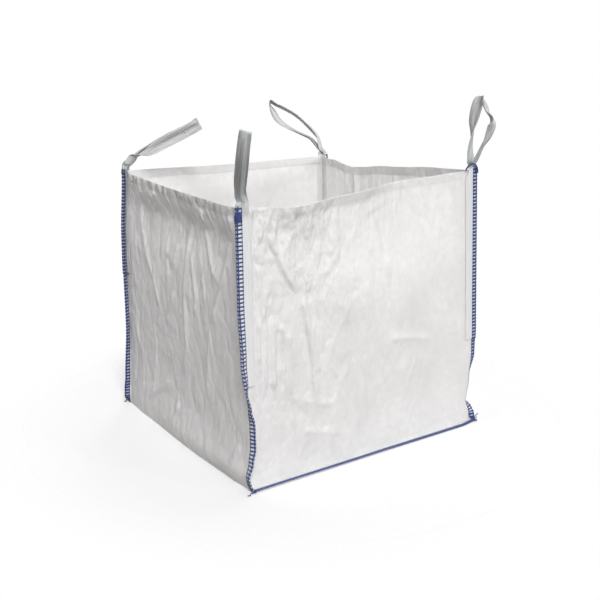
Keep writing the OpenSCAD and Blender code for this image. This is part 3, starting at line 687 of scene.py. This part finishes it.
# A route's paintedShade is how far below its loop's root, in millimetres, the painted shade begins; on the
# rear left strap it covers the whole strap, whose leg lies in shade on the left wall.
routes = {
    "front_left": {
        "first": 1, "paintedShade": 25,
        "gather": [(0, 0.8), (12, 0.74), (30, 0.7), (60, 0.66), (110, 0.66), (170, 0.68)], "points": [
            (-5, 38, -26, 0.9, 0.1, 0.42), (-2, 64, -60, 0.98, 0.05, 0.2), (3, 94, -100, 1, 0, 0),
            (8, 126, -138, 1, -0.05, 0), (13, 160, -166, 0.97, -0.2, 0.05),
            (18, 190, -182, 0.93, -0.34, 0.08), (14, 178, -160, 0.95, -0.27, 0.06),
            (7, 150, -126, 1, -0.08, 0), (-1, 112, -84, 1, 0, 0.08), (-7, 76, -46, 0.97, 0.07, 0.22),
            (-7, 44, -16, 0.88, 0.13, 0.45)]},
    "front_right": {
        "first": 1, "paintedShade": -6,
        "gather": [(0, 0.7), (12, 0.6), (30, 0.62), (70, 0.7), (150, 0.76)], "points": [
            (-2, 34, -20, 0.82, 0.15, 0.55), (-4, 66, -26, 0.6, 0.1, 0.79), (-5, 96, -36, 0.3, 0.05, 0.95),
            (-4, 126, -50, -0.1, 0, 0.99), (-1, 160, -60, -0.65, 0.1, 0.75), (6, 198, -72, -0.85, 0.25, 0.46),
            (13, 224, -82, -0.6, 0.3, 0.74), (20, 234, -84, -0.1, 0.1, 0.99), (27, 214, -78, 0.4, 0.1, 0.91),
            (38, 192, -70, 0.5, 0.2, 0.84), (55, 167, -62, 0.1, 0, 0.99), (58, 144, -50, 0.72, -0.2, 0.66),
            (48, 110, -36, 0.6, -0.2, 0.77), (33, 78, -22, 0.2, -0.05, 0.98), (20, 50, -10, 0.4, 0.05, 0.91),
            (9, 32, -4, 0.7, 0.2, 0.68)]},
    "rear_right": {
        "first": -1, "paintedShade": -6,
        "gather": [(0, 0.6), (12, 0.45), (40, 0.5), (110, 0.86), (170, 0.92)], "points": [
            (-5, 40, -9, 0.6, 0.14, 0.8), (-16, 76, -3, 0.1, 0, 0.99), (-40, 108, 1, -0.04, -0.05, 0.99),
            (-75, 144, 3, -0.04, -0.06, 0.99), (-110, 174, 5, -0.04, -0.06, 0.99),
            (-152, 199, 6, -0.04, -0.08, 0.99), (-186, 215, 5, -0.04, -0.09, 0.99),
            (-212, 227, 4, -0.05, -0.1, 0.99), (-214, 209, 1, 0.2, 0.14, 0.96),
            (-201, 179, -1, 0.42, 0.34, 0.84), (-184, 150, 0, 0.44, 0.36, 0.82),
            (-152, 125, 3, 0.34, 0.34, 0.88), (-112, 106, 7, 0.14, 0.22, 0.96),
            (-76, 90, 11, 0.12, 0.2, 0.97), (-50, 77, 12, 0.18, 0.16, 0.97), (-31, 56, 10, 0.42, 0.11, 0.9),
            (-16, 36, 6, 0.68, 0.15, 0.72)]},
    "rear_left": {
        "first": -1, "paintedShade": 380,
        "gather": [(0, 0.7), (12, 0.7), (50, 0.72), (90, 0.8), (150, 0.86)], "points": [
            (12, 22, -10, 0.6, -0.1, 0.8), (28, 42, -14, 0.5, -0.35, 0.79), (50, 55, -18, 0.05, 0.4, 0.91),
            (90, 70, -24, -0.35, 0.8, 0.2), (144, 98, -32, -0.42, 0.82, -0.35),
            (206, 128, -40, -0.42, 0.82, -0.4), (262, 157, -46, -0.42, 0.82, -0.4),
            (265.2, 160.2, -43.9, -0.42, 0.82, -0.4), (261.5, 159.4, -40.6, -0.42, 0.82, -0.4),
            (240, 148, -33, -0.44, 0.88, 0.1), (220, 147, -26, -0.3, 0.6, 0.74),
            (200, 148, -24, -0.05, 0.1, 0.99), (180, 138, -22, 0.07, -0.14, 0.98),
            (135, 117, -17, 0.07, -0.14, 0.98), (86, 89, -8, 0.07, -0.1, 0.99), (50, 70, 2, 0.1, 0.1, 0.99),
            (34, 58, 5, 0.3, 0.1, 0.95), (20, 44, 2, 0.5, 0.15, 0.85)]},
}


def curvePoints(points, steps):    # smooth curve through points, straight in its first and last stretch
    points = np.array(points, float)
    out = []
    for i in range(len(points) - 1):
        a, b, c, d = points[max(i - 1, 0)], points[i], points[i + 1], points[min(i + 2, len(points) - 1)]
        for share in np.arange(steps) / steps:
            if i in (0, len(points) - 2):
                out.append(b + (c - b) * share)
                continue
            out.append((2 * b + (c - a) * share + (2 * a - 5 * b + 4 * c - d) * share ** 2
                        + (3 * b - a - 3 * c + d) * share ** 3) / 2)
    return np.array(out + [points[-1]])


def runLengths(points):
    return np.concatenate([[0], np.cumsum(np.linalg.norm(np.diff(points, axis=0), axis=1))])


def wallOf(label, kind):    # the wall on one side of a corner, such as front or left of front_left
    return walls[label.split("_")[kind == "side"]]


def legPoint(label, kind, inward, height):    # inward: distance in from the edge of the seam allowance
    c, wall, allowance = corners[label], wallOf(label, kind), bag["allowance"]
    inside = np.minimum(height, c["tall"])
    above = (height - inside)[..., None] * c["up"]
    layer = strap["endLayer"] if kind == "end" else -strap["sideLayer"]
    inward = inward * ease(strap["pinch"], height - c["tall"])
    way, face = seamFrame(c, inside)
    onFlange = seamLine(c, inside) + way * (allowance - inward)[..., None] + face * layer
    share = np.maximum(inward - allowance, 0) / wall["span"]
    share = share if wall["left"] == label else 1 - share
    beyond = np.clip((inward - allowance) / (bag["strap"] - allowance), 0, 1)
    lift = strap["endLayer"] + strap["legBulge"] * np.sin(np.pi * beyond)
    onWall = wallPoint(wall, share, inside / c["tall"], lift=lift)
    return np.where((inward < allowance)[..., None], onFlange, onWall) + above


def makeStrap(name, label):
    c, route, spec = corners[label], routes[label], strap
    half = bag["strap"] / 2
    offsets = np.linspace(-half, half, spec["columns"])
    inward = -c["side"] * offsets + half    # distance from the edge of the seam allowance at each column
    rootAxis = seamLine(c, c["tall"]) + c["along"] * (bag["allowance"] - half) + c["up"] * spec["rootHeight"]

    def rootPoint(sign, rise):
        p = rootAxis + sign * spec["rootSpread"] * c["out"] + rise * c["up"] - c["rimPoint"]
        return (*p, *(c["side"] * c["along"]))
    first, lead = route["first"], spec["rootLead"]
    between = [(*(np.array(p[:3]) @ viewAxes), *(np.array(p[3:]) @ viewAxes)) for p in route["points"]]
    path = curvePoints([rootPoint(first, 0), rootPoint(first, lead), *between,
                        rootPoint(-first, lead), rootPoint(-first, 0)], spec["steps"])
    centre = c["rimPoint"] + path[:, :3]
    way = unit(np.gradient(centre, axis=0))
    width = path[:, 3:]
    width = unit(width - np.sum(width * way, axis=1, keepdims=True) * way)
    normal = np.cross(width, way)
    run = runLengths(centre)
    fromRoot = np.minimum(run, run[-1] - run)
    gather = ease(route["gather"], fromRoot)
    wave = bag["strap"] * gather / spec["folds"]
    fold = np.minimum(wave / (2 * np.pi) * np.sqrt(2 * (1 / gather ** 2 - 1)), spec["foldLimit"])
    u = offsets / half
    curl = spec["camber"] * smooth(fromRoot / spec["camberIn"])
    shape = (fold[:, None] * np.cos(np.pi * spec["folds"] * (u + spec["foldShift"]))[None]
             + curl[:, None] * (u * u - spec["camberMiddle"])[None]
             + spec["ridge"] * np.cos(spec["ridges"] * np.pi * u)[None])
    tip = np.argmax(np.linalg.norm(centre - centre[0], axis=1))    # pressed flat where it folds over
    shape *= smooth(np.abs(run - run[tip]) / spec["tipFlat"])[:, None]
    ring = (centre[:, None] + width[:, None] * (offsets[None] * gather[:, None])[..., None]
            + normal[:, None] * shape[..., None])
    kinds = ("end", "side") if first > 0 else ("side", "end")
    for kind, near in zip(kinds, (run, run[-1] - run)):    # both ends of the loop run into the legs
        mix = smooth(near / spec["join"])[:, None, None]
        height = np.minimum(c["tall"] + spec["rootHeight"] + near, c["tall"] + spec["stand"])
        ring = legPoint(label, kind, *np.broadcast_arrays(inward, height[:, None])) * (1 - mix) + ring * mix
    levels = evenly(c["tall"] - c["leg"], c["tall"], c["leg"], spec["legStep"])
    legs = [legPoint(label, kind, *np.meshgrid(inward, levels)) for kind in kinds]
    verts = np.concatenate([legs[0], ring, legs[1][::-1]])
    total = runLengths(verts[:, spec["columns"] // 2])
    uvs = np.stack(np.meshgrid(offsets, total), axis=-1).reshape(-1, 2)
    below = levels - c["tall"]
    rise = np.concatenate([below, spec["rootHeight"] + fromRoot, below[::-1]])
    # share of painted shade: nought on the legs, rising to one up the loop
    crumpleAndShade = smooth((rise + route["paintedShade"]) / spec["shadeOnset"])
    piece = makeMesh(name, verts.reshape(-1, 3), gridFaces(verts.shape[:2]), uvs, strapTape,
                     bag["strapThick"], np.repeat(crumpleAndShade, spec["columns"]))
    print(name, "strap length", round(total[-1]), "mm")
    return piece, total[-1], rootAxis


# Blue overlock: Geometry Nodes lays closed stitches and running threads round the edge of a seam
overlock = {"pitch": 12.0, "depth": 19.0, "bottomDepth": 10.0, "thick": 1.3, "chain": (8.4, 5.4, 1.8),
            "needle": (7.5, 2.8, 1.3), "chainPitch": 6.0, "inset": 2.0, "sink": 0.6, "thin": 1.15,
            "withLegs": 3.45, "clear": 0.2, "jitter": 6.0, "over": 4, "guideStep": 5, "beyond": 0.6,
            "aside": 0.15, "floorLayer": 3.2, "bottomStep": 6, "bottomEnd": 0.004,
            "runs": {    # stitch width and seed of each
                "front_left": (5.6, 1), "front_right": (9.4, 11), "rear_right": (7.0, 21),
                "rear_left": (8.4, 31), "front_bottom": (11.0, 60), "rear_bottom": (7.0, 61)}}


def metres(sizes):    # sizes by the name of a tree's input
    return {key: (np.array(size) * millimetre).tolist() for key, size in sizes.items()}


def newTree(name, inputs):
    tree = bpy.data.node_groups.new(name, "GeometryNodeTree")
    for way in ("INPUT", "OUTPUT"):
        tree.interface.new_socket("Geometry", in_out=way, socket_type="NodeSocketGeometry")
    for kind, labels in inputs.items():
        for label in labels:
            tree.interface.new_socket(label, in_out="INPUT", socket_type="NodeSocket" + kind)
    add = functools.partial(addNode, tree)
    return tree, add, add("NodeGroupInput").outputs


def guideNodes(add, size):    # guide curve, way its cloth faces, and a bead with its turn along the guide
    face = add("GeometryNodeInputNamedAttribute", {"Name": "face"}, data_type="FLOAT_VECTOR")
    guide = add("GeometryNodeMeshToCurve", {0: size["Geometry"]})
    along = add("GeometryNodeInputTangent")
    turn = add("FunctionNodeAxesToRotation", {"Primary Axis": along, "Secondary Axis": face},
               primary_axis="X", secondary_axis="Z")
    return guide, face, add("GeometryNodeMeshUVSphere", {"Segments": 6, "Rings": 4, "Radius": 0.5}), turn


def finishTree(add, parts, yarn):
    real = add("GeometryNodeRealizeInstances", {0: parts})
    soft = add("GeometryNodeSetShadeSmooth", {0: real})
    painted = add("GeometryNodeSetMaterial", {0: soft, "Material": yarn})
    add("NodeGroupOutput", {0: painted})


def overlockTree():
    tree, add, size = newTree("overlockStitches", {
        "Float": ("Pitch", "Depth", "Half Thickness", "Stitch Width", "Stitch Thickness", "Chain Pitch",
                  "Rail Inset", "Sink", "Tilt"),
        "Vector": ("Chain Size", "Needle Size"), "Int": ("Seed",), "Material": ("Yarn",)})
    guide, face, ball, chainTurn = guideNodes(add, size)
    across = add("GeometryNodeInputNamedAttribute", {"Name": "across"}, data_type="FLOAT_VECTOR")
    points = add("GeometryNodeResampleCurve", {"Curve": guide, "Length": size["Pitch"]}, mode="LENGTH")
    high = add("Math", {0: size["Half Thickness"], 1: 2.0}, operation="MULTIPLY")
    ring = add("GeometryNodeCurvePrimitiveQuadrilateral", {"Width": size["Depth"], "Height": high})
    dot = add("GeometryNodeCurvePrimitiveCircle", {"Resolution": 6, "Radius": 0.5})
    flat = add("CombineXYZ", {0: size["Stitch Thickness"], 1: size["Stitch Width"], 2: 1.0})
    profile = add("GeometryNodeTransform", {"Geometry": dot, "Scale": flat})
    stitch = add("GeometryNodeCurveToMesh", {"Curve": ring, "Profile Curve": profile})
    turn = add("FunctionNodeAxesToRotation", {"Primary Axis": across, "Secondary Axis": face},
               primary_axis="X", secondary_axis="Y")
    tilt = add("FunctionNodeRandomValue", {"Seed": size["Seed"]}, data_type="FLOAT")
    spread = add("MapRange", {"Value": tilt.outputs[1], "To Min": -1.0, "To Max": 1.0})
    angle = add("Math", {0: spread, 1: size["Tilt"]}, operation="MULTIPLY")
    lean = add("CombineXYZ", {1: angle})
    leaning = add("FunctionNodeRotateRotation", {"Rotation": turn, "Rotate By": lean}, rotation_space="LOCAL")
    deep = add("Math", {0: size["Depth"], 1: 0.5}, operation="MULTIPLY")
    middle = add("Math", {0: deep, 1: size["Sink"]}, operation="SUBTRACT")
    inward = add("VectorMath", {0: across, "Scale": middle}, operation="SCALE")
    shift = add("GeometryNodeSetPosition", {"Geometry": points, "Offset": inward})
    rungs = add("GeometryNodeInstanceOnPoints", {"Points": shift, "Instance": stitch, "Rotation": leaning})
    join = add("GeometryNodeJoinGeometry", {0: rungs})
    beads = add("GeometryNodeResampleCurve", {"Curve": guide, "Length": size["Chain Pitch"]}, mode="LENGTH")
    inner = add("Math", {0: size["Depth"], 1: size["Rail Inset"]}, operation="SUBTRACT")
    for depth, bead in ((size["Rail Inset"], size["Chain Size"]), (inner, size["Needle Size"])):
        link = add("GeometryNodeTransform", {"Geometry": ball, "Scale": bead})
        inward = add("VectorMath", {0: across, "Scale": depth}, operation="SCALE")
        for sign in (-1.0, 1.0):
            high = add("Math", {0: size["Half Thickness"], 1: sign}, operation="MULTIPLY")
            outward = add("VectorMath", {0: face, "Scale": high}, operation="SCALE")
            offset = add("VectorMath", {0: inward, 1: outward})
            rail = add("GeometryNodeSetPosition", {"Geometry": beads, "Offset": offset})
            plug(join, {0: add("GeometryNodeInstanceOnPoints", {"Points": rail, "Instance": link,
                                                                "Rotation": chainTurn})})
    finishTree(add, join, size["Yarn"])
    return tree


def sewingTree():
    tree, add, size = newTree("sewingStitches", {"Float": ("Pitch",), "Vector": ("Stitch Size",),
                                                 "Int": ("Seed",), "Material": ("Yarn",)})
    guide, _, ball, turn = guideNodes(add, size)
    points = add("GeometryNodeResampleCurve", {"Curve": guide, "Length": size["Pitch"]}, mode="LENGTH")
    dash = add("GeometryNodeTransform", {"Geometry": ball, "Scale": size["Stitch Size"]})
    wander = add("FunctionNodeRandomValue", {"Min": (0.9, 0.9, 0.9), "Max": (1.1, 1.1, 1.1),
                                             "Seed": size["Seed"]}, data_type="FLOAT_VECTOR")
    placed = add("GeometryNodeInstanceOnPoints", {"Points": points, "Instance": dash, "Rotation": turn,
                                                  "Scale": wander})
    finishTree(add, placed, size["Yarn"])
    return tree


def guideMesh(name, lines):    # lines of (points, vectors by attribute name)
    verts = np.concatenate([line[0] for line in lines]) * millimetre
    edges, start = [], 0
    for line in lines:
        edges += [(start + i, start + i + 1) for i in range(len(line[0]) - 1)]
        start += len(line[0])
    mesh = bpy.data.meshes.new(name)
    mesh.from_pydata(verts.tolist(), edges, [])
    for key in lines[0][1]:
        layer = mesh.attributes.new(key, "FLOAT_VECTOR", "POINT")
        vectors = np.concatenate([line[1][key] for line in lines])
        layer.data.foreach_set("vector", vectors.astype(np.float32).ravel())
    return addPiece(name, mesh)


def growNodes(piece, tree, values):
    grow = piece.modifiers.new(tree.name, "NODES")
    grow.node_group = tree
    for item in tree.interface.items_tree:
        if item.in_out == "INPUT" and item.name in values:
            grow[item.identifier] = values[item.name]
    bakeModifiers(piece)
    for layer in [a.name for a in piece.data.attributes if a.name in ("across", "face")]:
        piece.data.attributes.remove(piece.data.attributes[layer])
    return piece


def joinPieces(name, pieces):
    whole = pieces[0]
    with bpy.context.temp_override(active_object=whole, object=whole, selected_objects=pieces,
                                   selected_editable_objects=pieces):
        bpy.ops.object.join()
    whole.name = whole.data.name = name
    return whole


def threadPiece(name, points, radius, steps=6):
    path = curvePoints([points[0], *points, points[-1]], steps)[steps:-steps]
    verts, faces = tube(path, radius)
    return makeMesh(name, verts, faces, np.zeros((len(verts), 2)), blueYarn)


overlockNodes = overlockTree()
sewingNodes = sewingTree()


def overlockRun(name, line, halfThick, width, seed, depth=overlock["depth"]):
    spec = overlock
    halfHigh = halfThick + spec["clear"] + spec["thick"] / 2
    sizes = metres({"Pitch": spec["pitch"], "Depth": depth, "Half Thickness": halfHigh, "Stitch Width": width,
                    "Stitch Thickness": spec["thick"], "Chain Size": spec["chain"], "Sink": spec["sink"],
                    "Needle Size": spec["needle"], "Chain Pitch": spec["chainPitch"],
                    "Rail Inset": spec["inset"]})
    return growNodes(guideMesh(name, [line]), overlockNodes,
                     {**sizes, "Tilt": math.radians(spec["jitter"]), "Seed": seed, "Yarn": blueYarn})


def makeCornerSeam(label):
    c, spec = corners[label], overlock
    width, seed = spec["runs"][label]
    stops = (spec["over"], c["tall"] - c["leg"], c["tall"] + spec["over"])
    runs = []
    for low, high, halfThick in zip(stops, stops[1:], (spec["thin"], spec["withLegs"])):
        height = evenly(low, high, high - low, spec["guideStep"])
        way, face = seamFrame(c, np.minimum(height, c["tall"]))
        edge = seamLine(c, height) + way * (bag["allowance"] + spec["beyond"]) - face * spec["aside"]
        edge[:, 2] = np.maximum(edge[:, 2], spec["floorLayer"])
        runs.append(overlockRun(label + str(len(runs)), (edge, {"across": -way, "face": face}), halfThick,
                                width, seed + len(runs)))
    return runs


def makeBottomSeam(wallName):
    wall, spec, label = walls[wallName], overlock, wallName + "_bottom"
    s = np.linspace(spec["bottomEnd"], 1 - spec["bottomEnd"], int(wall["span"] / spec["bottomStep"]))
    way, face = footFrame(wall)
    edge = footEdge(wall, s)
    edge[:, 2] = spec["floorLayer"]
    edge += way * (bag["allowance"] + spec["beyond"])
    sides = {"across": np.broadcast_to(-way, edge.shape), "face": np.broadcast_to(face, edge.shape)}
    return overlockRun("overlock_" + label, (edge, sides), spec["thin"], *spec["runs"][label],
                       spec["bottomDepth"])


seams = {label: makeCornerSeam(label) for label in corners}
for wallName in ("front", "rear"):
    seams[wallName + "_bottom"] = [makeBottomSeam(wallName)]

# Loose ends of the overlock thread: knots and tails along the panel, out of it and up from the corner's foot
tailRadius = 1.5
tails = {
    "front_left": [[(0, 26, 6), (6, 32, 4), (14, 30, 3), (22, 38, 2.5), (30, 36, 2)],
                   [(2, 24, 10), (-4, 30, 8), (0, 34, 4), (6, 28, 5), (1, 23, 8)]],
    "front_right": [[(2, 22, 8), (8, 26, 12), (10, 20, 18), (16, 24, 24), (20, 20, 22)],
                    [(0, 22, 6), (6, 28, 5), (4, 32, 3), (-3, 28, 4), (0, 22, 8)]],
    "rear_right": [[(0, 24, 8), (6, 30, 5), (14, 28, 3), (22, 32, 2.5)]],
    "rear_left": [[(0, 24, 8), (8, 28, 6), (12, 22, 3), (20, 24, 2.5)]],
}
for label, lines in tails.items():
    c = corners[label]
    for i, line in enumerate(lines):
        points = [c["footPoint"] + a * c["along"] + o * c["out"] + np.array([0, 0, z]) for a, o, z in line]
        seams[label].append(threadPiece(label + "_tail" + str(i), points, tailRadius))
rearTurns = [[(26, 0, 2), (20, 7, 6), (10, 7, 9), (2, 6, 4)], [(26, -4, -4), (26, 6, -3), (13, 7, -1)]]
rimThreads = {    # radius of the turns of thread over the straps, and their points from the rim corner
    "front_left": (1.9, [*([(27, y, z), (26, 6, z + 2), (14, 7, z + 4), (8, 5.5, z + 1)] for y, z in
                           ((-3, -16), (-5, -20), (-4, -24), (-4, -28), (-5, -32), (-4, -37))),
                         [(25, 5, -10), (22, 7, -2), (19, 6, 6), (20, 2, 12)]]),
    "front_right": (2.8, [[(-29, 4, 4), (-27, 8, 13), (-17, 10, 22), (-4, 11, 25), (8, 10, 22), (17, 9, 13),
                           (22, 8, 3), (24, 7, -9)],
                          [(26, -5, -2), (26, 6, -1), (14, 7, 1)], [(26, -5, -9), (26, 6, -8), (13, 7, -6)]]),
    "rear_right": (1.9, rearTurns),
    "rear_left": (1.2, rearTurns),
}
for label, (radius, lines) in rimThreads.items():
    c = corners[label]
    way, face = seamFrame(c, c["tall"])
    for i, line in enumerate(lines):
        points = [c["rimPoint"] + x * (way if x > 0 else c["along"]) + y * face + z * c["up"]
                  for x, y, z in line]
        seams[label].append(threadPiece(label + "_top" + str(i), points, radius))
seamPieces = {label: joinPieces("overlock_" + label, parts) for label, parts in seams.items()}
print("overlock seams made")

straps = {label: makeStrap("strap_" + label, label) for label in corners}

# Sewing lines of the hem and of the legs
sewing = {"pitch": 9.0, "stitch": (7.0, 1.1, 1.1), "seed": 5, "hemDrop": 22, "hemEnd": 0.05, "hemPoints": 150,
          "hemLift": 1.35, "legIn": 5, "legEnds": 12, "legStep": 8, "legLift": 1.3}
hemLines, legLines = [], []
for wall in walls.values():
    s = np.linspace(sewing["hemEnd"], 1 - sewing["hemEnd"], sewing["hemPoints"])
    level = np.full(s.shape, 1 - sewing["hemDrop"] / wall["tall"])
    line = wallPoint(wall, s, level, lift=sewing["hemLift"])
    hemLines.append((line, {"face": np.broadcast_to(wall["outVec"], line.shape)}))
for label, c in corners.items():
    level = np.linspace(c["tall"] - c["leg"] + sewing["legEnds"], c["tall"] - sewing["legEnds"],
                        int(c["leg"] / sewing["legStep"]))
    for kind in ("end", "side"):
        line = legPoint(label, kind, np.full(level.shape, bag["strap"] - sewing["legIn"]), level)
        face = np.broadcast_to(wallOf(label, kind)["outVec"], line.shape)
        legLines.append((line + face * sewing["legLift"], {"face": face}))
sewingSizes = {**metres({"Pitch": sewing["pitch"], "Stitch Size": sewing["stitch"]}), "Seed": sewing["seed"],
               "Yarn": whiteYarn}
hemStitches = growNodes(guideMesh("stitches_hem", hemLines), sewingNodes, sewingSizes)
legStitches = growNodes(guideMesh("stitches_legs", legLines), sewingNodes, sewingSizes)
print("sewing lines made")

# What each piece rides on and stands for
bends = {"strap": (-9, 12), "thread": (-2, 10)}    # where each bends, up from the root of its loop


def bendWithLoop(piece, label, kind):
    root, up = straps[label][2], corners[label]["up"]
    start, end = (tuple((root + rise * up) * millimetre) for rise in bends[kind])
    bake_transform(piece, "bag", "loop_" + label, start=start, end=end)


for piece, node in ((frontCloth, "front_panel"), (rearCloth, "rear_panel"), (uCloth, "u_panel")):
    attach(piece, "bag")
    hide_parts(node)
for label, (piece, length, _) in straps.items():
    end = label.split("_")[0]
    bendWithLoop(piece, label, "strap")
    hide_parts(label + "_loop", label + "_" + end + "_leg", label + "_side_leg")
for label, piece in seamPieces.items():
    if label in straps:    # the top threads lie round the loop's neck and fold with it
        bendWithLoop(piece, label, "thread")
    else:
        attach(piece, "bag")
    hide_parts(label + "_seam")
for piece, node in ((hemStitches, "hem_stitching"), (legStitches, "leg_stitching")):
    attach(piece, "bag")
    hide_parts(node)
print("pieces placed on their bodies")

# Floor, light and camera. A lamp has the way it shines from, its strength and the angle it fills in degrees.
studio = {"floor": 1.4, "floorDrop": 0.0005, "floorClear": 0.62, "floorGone": 1.15, "floorTone": "#f8f8f8",
          "floorBounce": "#8c8c8c", "sky": (0.10, 0.30), "skyRise": (-0.3, 0.6),
          "behind": ((0.73, 0.60, 0.32), 0.15), "behindRise": (0.2, 1.0),
          "lamps": {"key": ((-0.29, -0.63, 0.72), 2.65, 22), "side": ((0.5, -0.85, 0.12), 0.8, 12),
                    "back": ((0.55, 0.45, 0.7), 0.15, 20), "far": ((0.6, 0.79, 0.1), 0.65, 20)},
          "camera": (-1835.5, -2661.1, 1332.9), "lookAt": (21.4, -14.9, 430.3), "focal": 927.5, "image": 600,
          "sensor": 36}
white = (1, 1, 1, 1)


def backdropRay(add):    # one for rays that show the backdrop to the camera, nought for light that bounces
    ray = add("LightPath").outputs
    seen = add("Math", {0: ray["Is Camera Ray"], 1: ray["Is Glossy Ray"]}, operation="MAXIMUM")
    return add("Math", {0: seen, 1: ray["Is Transmission Ray"]}, operation="MAXIMUM")


def makeFloor():
    size = studio["floor"]
    mesh = bpy.data.meshes.new("floor")
    square = [(-size, -size, 0), (size, -size, 0), (size, size, 0), (-size, size, 0)]
    mesh.from_pydata(square, [], [(0, 1, 2, 3)])
    floor = addPiece("floor", mesh)
    floor.location.z = -studio["floorDrop"]
    material, add, shader, output = newMaterial("paleFloor")    # matt pale sheet, fading into the backdrop
    tint = add("Mix", {0: backdropRay(add), 6: tone(studio["floorBounce"]), 7: tone(studio["floorTone"])},
               data_type="RGBA")
    plug(shader, {"Base Color": tint.outputs[2], "Roughness": 0.9, "Specular IOR Level": 0.1})
    place = add("TexCoord").outputs["Object"]
    reach = add("VectorMath", {0: place}, operation="LENGTH").outputs["Value"]
    fade = add("MapRange", {"Value": reach, "From Min": studio["floorClear"],
                            "From Max": studio["floorGone"]}, interpolation_type="SMOOTHSTEP")
    clear = add("BsdfTransparent")
    plug(output, {0: add("MixShader", {0: fade, 1: shader, 2: clear})})
    mesh.materials.append(material)


def makeLight():
    world = bpy.data.worlds.new("studio")
    scene.world = world
    world.use_nodes = True
    nodes, add = world.node_tree.nodes, functools.partial(addNode, world.node_tree)
    way = add("TexCoord").outputs["Generated"]
    height = add("SeparateXYZ", {0: way}).outputs[2]
    (start, end), (low, high) = studio["skyRise"], studio["sky"]    # from below the horizon to overhead
    rise = add("MapRange", {"Value": height, "From Min": start, "From Max": end,
                            "To Min": low, "To Max": high})
    side, strength = studio["behind"]    # broad soft fill for the far sides
    start, end = studio["behindRise"]
    facing = add("VectorMath", {0: way, 1: side}, operation="DOT_PRODUCT").outputs["Value"]
    fill = add("MapRange", {"Value": facing, "From Min": start, "From Max": end,
                            "To Min": 0.0, "To Max": strength})
    level = add("Math", {0: rise, 1: fill}, operation="ADD")
    sky = plug(nodes["Background"], {0: white, 1: level})
    backdrop = add("Background", {0: white, 1: 1.0})
    mix = add("MixShader", {0: backdropRay(add), 1: sky, 2: backdrop})
    plug(nodes["World Output"], {0: mix})
    for name, (fromWay, strength, soft) in studio["lamps"].items():
        lamp = bpy.data.lights.new(name, "SUN")
        lamp.energy = strength
        lamp.angle = math.radians(soft)
        addPiece(name, lamp).rotation_euler = Vector(fromWay).to_track_quat("Z", "Y").to_euler()


def makeCamera():
    lens = bpy.data.cameras.new("photo")
    lens.sensor_width = studio["sensor"]
    lens.lens = studio["focal"] / studio["image"] * lens.sensor_width
    camera = addPiece("photo", lens)
    place, target = Vector(studio["camera"]) * millimetre, Vector(studio["lookAt"]) * millimetre
    camera.location = place
    camera.rotation_euler = (target - place).to_track_quat("-Z", "Y").to_euler()
    scene.camera = camera


makeFloor()
makeLight()
makeCamera()
print("studio set")
